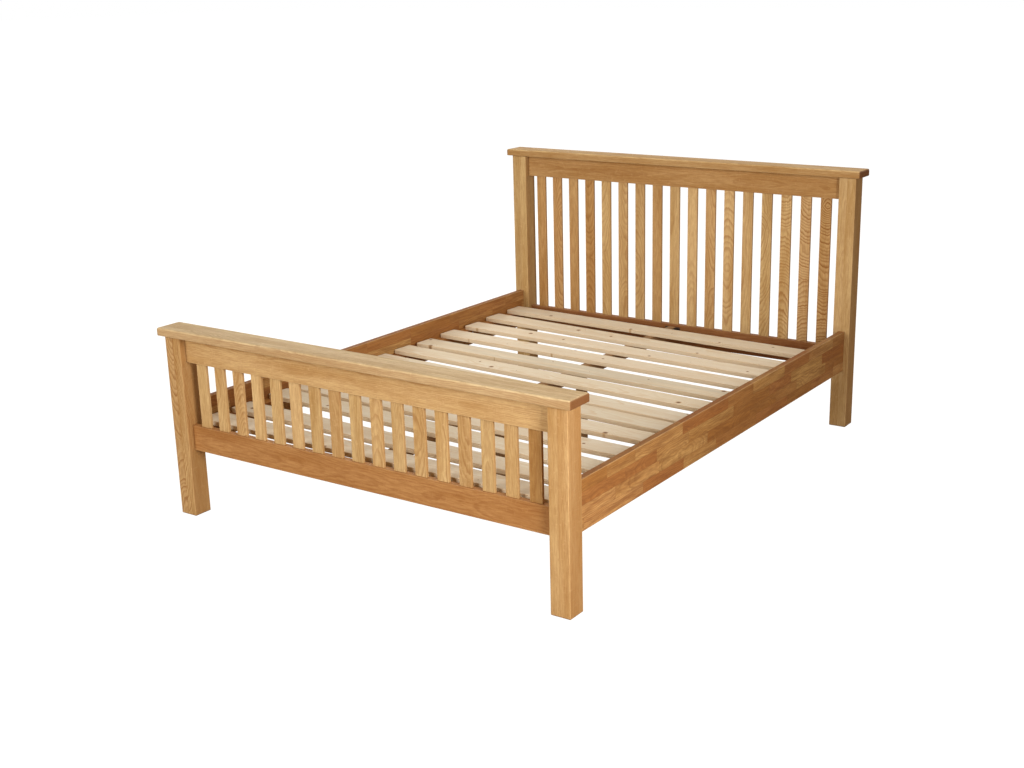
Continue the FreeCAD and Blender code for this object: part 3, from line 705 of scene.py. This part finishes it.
@made_once
def turned_beech():
    """Beech of the dowels: close, even and flecked."""
    material, b, shader = new_material("turned_beech")
    place = b.add("ShaderNodeTexCoord").outputs["Object"]
    fleck = b.step(b.noise(b.vector("MULTIPLY", place, (900.0, 900.0, 300.0)), 1.0, 2.0), 0.55, 0.7)
    cloud = b.noise(place, 60.0, 3.0)
    base = b.mix(cloud, (0.55, 0.33, 0.17, 1.0), (0.66, 0.44, 0.25, 1.0))
    b.feed(shader.inputs["Base Color"], b.wash(base, fleck, 0.5, (0.36, 0.17, 0.07)))
    b.feed(shader.inputs["Roughness"], b.calc("MULTIPLY_ADD", fleck, 0.15, 0.5))
    relief(b, shader, fleck, depth=0.0001)
    return material


@made_once
def bright_zinc():
    """Zinc-plated steel of the studs, nuts, washers and screws, faintly clouded."""
    finish = bpy.context.scene.slatted_bed_finishes
    material, b, shader = new_material("bright_zinc")
    place = b.add("ShaderNodeTexCoord").outputs["Object"]
    cloud = b.noise(place, 140.0, 4.0, 0.6)
    scratch = b.step(b.noise(b.vector("MULTIPLY", place, (1400.0, 300.0, 2100.0)), 1.0, 1.0), 0.6, 0.72)
    shade = tuple(0.72 * part for part in finish.zinc)
    base = b.mix(cloud, whole(finish.zinc), whole(shade))
    b.feed(shader.inputs["Base Color"], b.wash(base, scratch, 0.25, (0.8, 0.8, 0.78)))
    shader.inputs["Metallic"].default_value = 1.0
    b.feed(shader.inputs["Roughness"], b.calc("MULTIPLY_ADD", cloud, 0.25, 0.24))
    relief(b, shader, b.calc("MULTIPLY", scratch, -1.0), depth=0.00005)
    return material


@made_once
def black_steel():
    """Satin brown-black paint on the hangers and their screws, a little orange-peeled and dusty."""
    finish = bpy.context.scene.slatted_bed_finishes
    material, b, shader = new_material("black_steel")
    place = b.add("ShaderNodeTexCoord").outputs["Object"]
    dust = b.step(b.noise(place, 90.0, 4.0, 0.6), 0.45, 0.75)
    peel = b.noise(place, 700.0, 2.0)
    shade = b.mix(dust, whole(finish.black), (0.09, 0.058, 0.038, 1.0))
    b.feed(shader.inputs["Base Color"], b.wash(shade, peel, 0.2, (0.05, 0.05, 0.05)))
    b.feed(shader.inputs["Roughness"], b.calc("MULTIPLY_ADD", dust, 0.3, 0.38))
    relief(b, shader, peel, depth=0.00005)
    return material


def dress(nodes, material):
    """Gives carried-over CAD nodes a finish."""
    for node in nodes:
        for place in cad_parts[node].material_slots:
            place.material = material


# Operators, one for each piece or group of like pieces

class SLATTED_BED_OT_legs(bpy.types.Operator):
    """Four square legs, glued up from two staves, with eased arrises and a chamfered foot"""

    bl_idname = "slatted_bed.legs"
    bl_label = "Legs"

    def execute(self, context):
        sizes = context.scene.slatted_bed_sizes
        for node, (tint, figure) in LEGS.items():
            half = half_of(node)
            bm = board_mesh(half, (X, Y), sizes.leg_radius, sizes.leg_chamfer, SHARP, flat=True)
            place_board(node + "_oak", bm, half, centre_of(node), (Z, X, Y), golden_oak(), [node],
                        stave=sizes.leg_stave, tint=tint, figure=figure)
        return {"FINISHED"}


class SLATTED_BED_OT_caps(bpy.types.Operator):
    """Flat caps of the head- and footboard, rounded at the top and eased below"""

    bl_idname = "slatted_bed.caps"
    bl_label = "Caps"

    def execute(self, context):
        sizes = context.scene.slatted_bed_sizes
        for node, tint in CAPS.items():
            half = half_of(node)
            bm = board_mesh(half, (X, Y), sizes.cap_corner, sizes.cap_under, sizes.cap_top)
            place_board(node + "_oak", bm, half, centre_of(node), (X, Y, Z), golden_oak(), [node],
                        stave=sizes.cap_stave, tint=tint, figure=0.7)
        return {"FINISHED"}


class SLATTED_BED_OT_end_rails(bpy.types.Operator):
    """Upper and lower rails of the head- and footboard, between the legs"""

    bl_idname = "slatted_bed.end_rails"
    bl_label = "End rails"

    def execute(self, context):
        sizes = context.scene.slatted_bed_sizes
        for node, tint in END_RAILS.items():
            half = half_of(node) - Vector((sizes.tenon - sizes.shoulder, 0, 0))
            bm = board_mesh(half, (X, Z), SHARP, sizes.rail_radius, sizes.rail_radius)
            place_board(node + "_oak", bm, half, centre_of(node), (X, Z, Y), golden_oak(), [node], tint=tint,
                        figure=0.6)
        return {"FINISHED"}


class SLATTED_BED_OT_uprights(bpy.types.Operator):
    """Seventeen flat uprights in the headboard and seventeen in the footboard, housed in the rails"""

    bl_idname = "slatted_bed.uprights"
    bl_label = "Uprights"

    def execute(self, context):
        sizes = context.scene.slatted_bed_sizes
        first, last = centre_of("head_upright_01"), centre_of("head_upright_%02d" % UPRIGHTS)
        foot_half, foot_middle = half_of("foot_uprights"), centre_of("foot_uprights")
        for index in range(UPRIGHTS):
            count = index + 1
            node = "head_upright_%02d" % count
            half = half_of(node)
            self.add(node + "_oak", half, centre_of(node), node, sizes.upright_radius, HEAD_TINTS.get(count, 0.0),
                     HEAD_FIGURES.get(count))
            centre = foot_middle.copy()
            centre.x = first.x + (last.x - first.x) * index / (UPRIGHTS - 1)
            half = Vector((half.x, half.y, foot_half.z))
            self.add("foot_upright_%02d_oak" % count, half, centre, "foot_uprights", sizes.upright_radius,
                     FOOT_TINTS.get(count, 0.0))
        return {"FINISHED"}

    def add(self, name, half, centre, node, radius, deep, bold=None):
        """One upright. Most are pale and quiet, because the random part of each is squared."""
        bm = board_mesh(half, (X, Y), radius, SHARP, SHARP)
        chance = random.Random(name + " tone")
        tint = deep + 0.3 * chance.random() ** 2
        place_board(name, bm, half, centre, (Z, X, Y), golden_oak(), [node], tint=tint,
                    figure=bold or 0.4 + 0.7 * chance.random() ** 2)


class SLATTED_BED_OT_side_rails(bpy.types.Operator):
    """Deep side rails of finger-jointed staves, with a round pocket for each stud and nut"""

    bl_idname = "slatted_bed.side_rails"
    bl_label = "Side rails"

    def execute(self, context):
        sizes = context.scene.slatted_bed_sizes
        for side, node in ((-1, "side_rail_left"), (1, "side_rail_right")):
            half, centre = half_of(node), centre_of(node)
            bm = board_mesh(half, (Y, Z), SHARP, sizes.side_radius, sizes.side_radius)
            rail = self.pocketed(bm, node, side, half, centre, sizes)
            place_board(node + "_oak", rail, half, centre, (Y, Z, X), stave_oak(), [node],
                        stave=sizes.side_stave, block=sizes.side_block)
        return {"FINISHED"}

    def pocketed(self, bm, node, side, half, centre, sizes):
        """Cuts the round pockets round the half-moon washers, and gives the board back as a bmesh."""
        height = centre_of("stud_nuts").z - centre.z
        radius = sizes.pocket_diameter / 2
        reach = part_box("moon_washers")[1].y - (radius - sizes.pocket_play)
        cutter = bmesh.new()
        for end in (-1, 1):
            place = Matrix.Translation((-side * half.x, end * reach - centre.y, height))
            bmesh.ops.create_cone(cutter, cap_ends=True, segments=64, radius1=radius, radius2=radius,
                                  depth=2 * sizes.pocket_depth,
                                  matrix=place @ Matrix.Rotation(math.radians(90), 4, "Y"))
        board = self.as_object(node + "_blank", bm)
        tool = self.as_object(node + "_pockets", cutter)
        cut = board.modifiers.new("pockets", "BOOLEAN")
        cut.operation = "DIFFERENCE"
        cut.solver = "EXACT"
        cut.object = tool
        bpy.context.view_layer.update()
        graph = bpy.context.evaluated_depsgraph_get()
        result = bmesh.new()
        result.from_mesh(board.evaluated_get(graph).to_mesh())
        for spare in (board, tool):
            mesh = spare.data
            bpy.data.objects.remove(spare)
            bpy.data.meshes.remove(mesh)
        return result

    def as_object(self, name, bm):
        """A bare object for the boolean, taken away after it."""
        mesh = bpy.data.meshes.new(name)
        bm.to_mesh(mesh)
        bm.free()
        item = bpy.data.objects.new(name, mesh)
        bpy.context.scene.collection.objects.link(item)
        return item


class SLATTED_BED_OT_bed_slats(bpy.types.Operator):
    """Thirteen loose pine slats, each at the small angle it has drifted to"""

    bl_idname = "slatted_bed.bed_slats"
    bl_label = "Bed slats"

    stained: IntProperty(name="Stained slat", description="The slat with a grey-blue streak, from the foot", default=9)

    def execute(self, context):
        sizes = context.scene.slatted_bed_sizes
        for index in range(BED_SLATS):
            node = "bed_slat_%02d" % (index + 1)
            half = Vector((sizes.slat_length / 2, sizes.slat_width / 2, half_of(node).z))
            bm = board_mesh(half, (X, Y), sizes.slat_corner, sizes.slat_radius, sizes.slat_radius)
            stain = 1.0 if index + 1 == self.stained else 0.0
            place_board(node + "_pine", bm, half, centre_of(node), (X, Y, Z), pale_pine(), [node],
                        tint=stain, turn=-self.skew(node, sizes))
        return {"FINISHED"}

    def skew(self, node, sizes):
        """Clockwise turn of a slat, from the depth of its box."""
        long_way = sizes.slat_length - 2 * sizes.slat_corner
        short_way = sizes.slat_width - 2 * sizes.slat_corner
        depth = 2 * half_of(node).y - 2 * sizes.slat_corner
        return math.asin(depth / math.hypot(long_way, short_way)) - math.atan2(short_way, long_way)


class SLATTED_BED_OT_centre_support(bpy.types.Operator):
    """Centre rail under the slats and its two legs"""

    bl_idname = "slatted_bed.centre_support"
    bl_label = "Centre support"

    def execute(self, context):
        sizes = context.scene.slatted_bed_sizes
        radius = sizes.support_radius
        half = half_of("centre_rail")
        bm = board_mesh(half, (X, Z), radius, SHARP, SHARP)
        # With figure 0 the centre rail and the support legs get painted shade: their pine is darkened all over, as in
        # the shade under the slats.
        place_board("centre_rail_pine", bm, half, centre_of("centre_rail"), (Y, X, Z), pale_pine(),
                    ["centre_rail"], figure=0.0)
        for node in ("support_leg_foot", "support_leg_head"):
            half = half_of(node)
            bm = board_mesh(half, (X, Y), radius, radius / 2, SHARP, flat=True)
            place_board(node + "_pine", bm, half, centre_of(node), (Z, X, Y), pale_pine(), [node], figure=0.0)
        return {"FINISHED"}


class SLATTED_BED_OT_fittings(bpy.types.Operator):
    """Ledges, dowels and steel fittings, carried over with their finishes"""

    bl_idname = "slatted_bed.fittings"
    bl_label = "Ledges and fittings"

    def execute(self, context):
        dress(("ledge_left", "ledge_right"), batten_oak())
        dress(("rail_dowels", "cap_dowels"), turned_beech())
        dress(("rail_studs", "moon_washers", "stud_nuts", "support_studs", "ledge_screws"), bright_zinc())
        dress(("head_hanger", "foot_hanger", "hanger_screws"), black_steel())
        return {"FINISHED"}


class SLATTED_BED_OT_studio(bpy.types.Operator):
    """Pale floor, soft lights and the camera"""

    bl_idname = "slatted_bed.studio"
    bl_label = "Studio"

    def execute(self, context):
        studio = context.scene.slatted_bed_studio
        self.floor(studio)
        self.room(context.scene, studio)
        for name, (size, place, target) in LAMPS.items():
            self.lamp(name + "_light", getattr(studio, name), size, place, target)
        self.camera(context.scene, studio)
        return {"FINISHED"}

    def floor(self, studio):
        """Pale floor. The camera sees it nearly white, and polished wood mirrors little of it."""
        bm = bmesh.new()
        bmesh.ops.create_grid(bm, x_segments=8, y_segments=8, size=FLOOR_REACH)
        mesh = bpy.data.meshes.new("floor")
        bm.to_mesh(mesh)
        bm.free()
        material, b, shader = new_material("pale_floor")
        place = b.add("ShaderNodeTexCoord").outputs["Object"]
        worn = tuple(0.985 * part for part in studio.floor)
        pale = b.mix(b.noise(place, 2.0, 4.0), whole(studio.floor), whole(worn))
        path = b.add("ShaderNodeLightPath").outputs
        mirrored = b.calc("MULTIPLY", path["Is Glossy Ray"], FLOOR_UNSEEN)
        b.feed(shader.inputs["Base Color"], b.mix(mirrored, pale, (0.0, 0.0, 0.0, 1.0)))
        shader.inputs["Roughness"].default_value = 0.9
        shader.inputs["Specular IOR Level"].default_value = 0.1
        white = b.add("ShaderNodeEmission", inputs={"Color": (1.0, 1.0, 1.0, 1.0), "Strength": FLOOR_WHITE})
        seen = b.calc("MULTIPLY", path["Is Camera Ray"], studio.glow)
        blend = b.add("ShaderNodeMixShader", inputs={"Fac": seen})
        b.feed(blend.inputs[1], shader.outputs[0])
        b.feed(blend.inputs[2], white.outputs[0])
        b.feed(material.node_tree.nodes["Material Output"].inputs["Surface"], blend.outputs[0])
        mesh.materials.append(material)
        floor = bpy.data.objects.new("floor", mesh)
        bpy.context.scene.collection.objects.link(floor)

    def room(self, scene, studio):
        """White room. The light that it gives the bed is dim and warm, and what polished faces mirror of it is dim."""
        world = bpy.data.worlds.new("studio_room")
        world.use_nodes = True
        back = world.node_tree.nodes["Background"]
        b = Bench(world.node_tree)
        path = b.add("ShaderNodeLightPath").outputs
        dimmed = path["Is Diffuse Ray"]
        b.feed(back.inputs["Color"], b.mix(dimmed, (1.0, 1.0, 1.0, 1.0), whole(studio.sky_tone)))
        shine = b.calc("MULTIPLY_ADD", path["Is Glossy Ray"], studio.shine - 1.0, 1.0)
        b.feed(back.inputs["Strength"], b.calc("MULTIPLY_ADD", dimmed, studio.sky - 1.0, shine))
        scene.world = world
        scene.view_settings.view_transform = "Standard"

    def lamp(self, name, power, size, place, target):
        """Square soft light that neither the camera nor a polished face sees."""
        light = bpy.data.lights.new(name, "AREA")
        light.shape = "SQUARE"
        light.size = size
        light.energy = power
        lamp = bpy.data.objects.new(name, light)
        bpy.context.scene.collection.objects.link(lamp)
        lamp.location = place
        lamp.visible_camera = False
        lamp.visible_glossy = False
        aim = Vector(target) - Vector(place)
        lamp.rotation_euler = aim.to_track_quat("-Z", "Y").to_euler()

    def camera(self, scene, studio):
        """The photograph's camera."""
        turn, tilt, roll = studio.camera_turn, studio.camera_tilt, studio.camera_roll
        back = Vector((math.sin(turn) * math.cos(tilt), -math.cos(turn) * math.cos(tilt), math.sin(tilt)))
        level = Vector((0, 0, 1)).cross(back).normalized()
        upright = back.cross(level)
        right = math.cos(roll) * level + math.sin(roll) * upright
        up = back.cross(right)
        data = bpy.data.cameras.new("camera")
        data.sensor_fit = "HORIZONTAL"
        data.sensor_width = 36.0
        data.lens = studio.lens
        data.shift_x = studio.shift_right
        data.shift_y = studio.shift_up
        data.clip_end = 500.0
        camera = bpy.data.objects.new("camera", data)
        scene.collection.objects.link(camera)
        turned = Matrix((right, up, back)).transposed().to_4x4()
        camera.matrix_world = Matrix.Translation(studio.camera_place) @ turned
        scene.camera = camera


OPERATORS = (SLATTED_BED_OT_legs, SLATTED_BED_OT_caps, SLATTED_BED_OT_end_rails, SLATTED_BED_OT_uprights,
             SLATTED_BED_OT_side_rails, SLATTED_BED_OT_bed_slats, SLATTED_BED_OT_centre_support,
             SLATTED_BED_OT_fittings, SLATTED_BED_OT_studio)


class SLATTED_BED_PT_panel(bpy.types.Panel):
    """Lists the pieces of the bed in the sidebar"""

    bl_idname = "SLATTED_BED_PT_panel"
    bl_label = "Slatted Bed"
    bl_space_type = "VIEW_3D"
    bl_region_type = "UI"
    bl_category = "Slatted Bed"

    def draw(self, context):
        """A button for each operator, then the settings."""
        column = self.layout.column(align=True)
        for operator in OPERATORS:
            column.operator(operator.bl_idname)
        for group in (context.scene.slatted_bed_sizes, context.scene.slatted_bed_finishes,
                      context.scene.slatted_bed_studio):
            box = self.layout.box()
            for key in group.__annotations__:
                box.prop(group, key)


GROUPS = {"slatted_bed_sizes": SLATTED_BED_PG_sizes, "slatted_bed_finishes": SLATTED_BED_PG_finishes,
          "slatted_bed_studio": SLATTED_BED_PG_studio}


def register():
    """Adds the settings, the operators and the panel."""
    for name, group in GROUPS.items():
        bpy.utils.register_class(group)
        setattr(bpy.types.Scene, name, PointerProperty(type=group))
    for item in (*OPERATORS, SLATTED_BED_PT_panel):
        bpy.utils.register_class(item)


def unregister():
    """Takes them away again."""
    for item in (SLATTED_BED_PT_panel, *reversed(OPERATORS)):
        bpy.utils.unregister_class(item)
    for name, group in GROUPS.items():
        delattr(bpy.types.Scene, name)
        bpy.utils.unregister_class(group)


def main():
    """Builds the whole bed and its studio."""
    register()
    for operator in OPERATORS:
        category, name = operator.bl_idname.split(".")
        getattr(getattr(bpy.ops, category), name)()


if __name__ == "__main__":
    main()
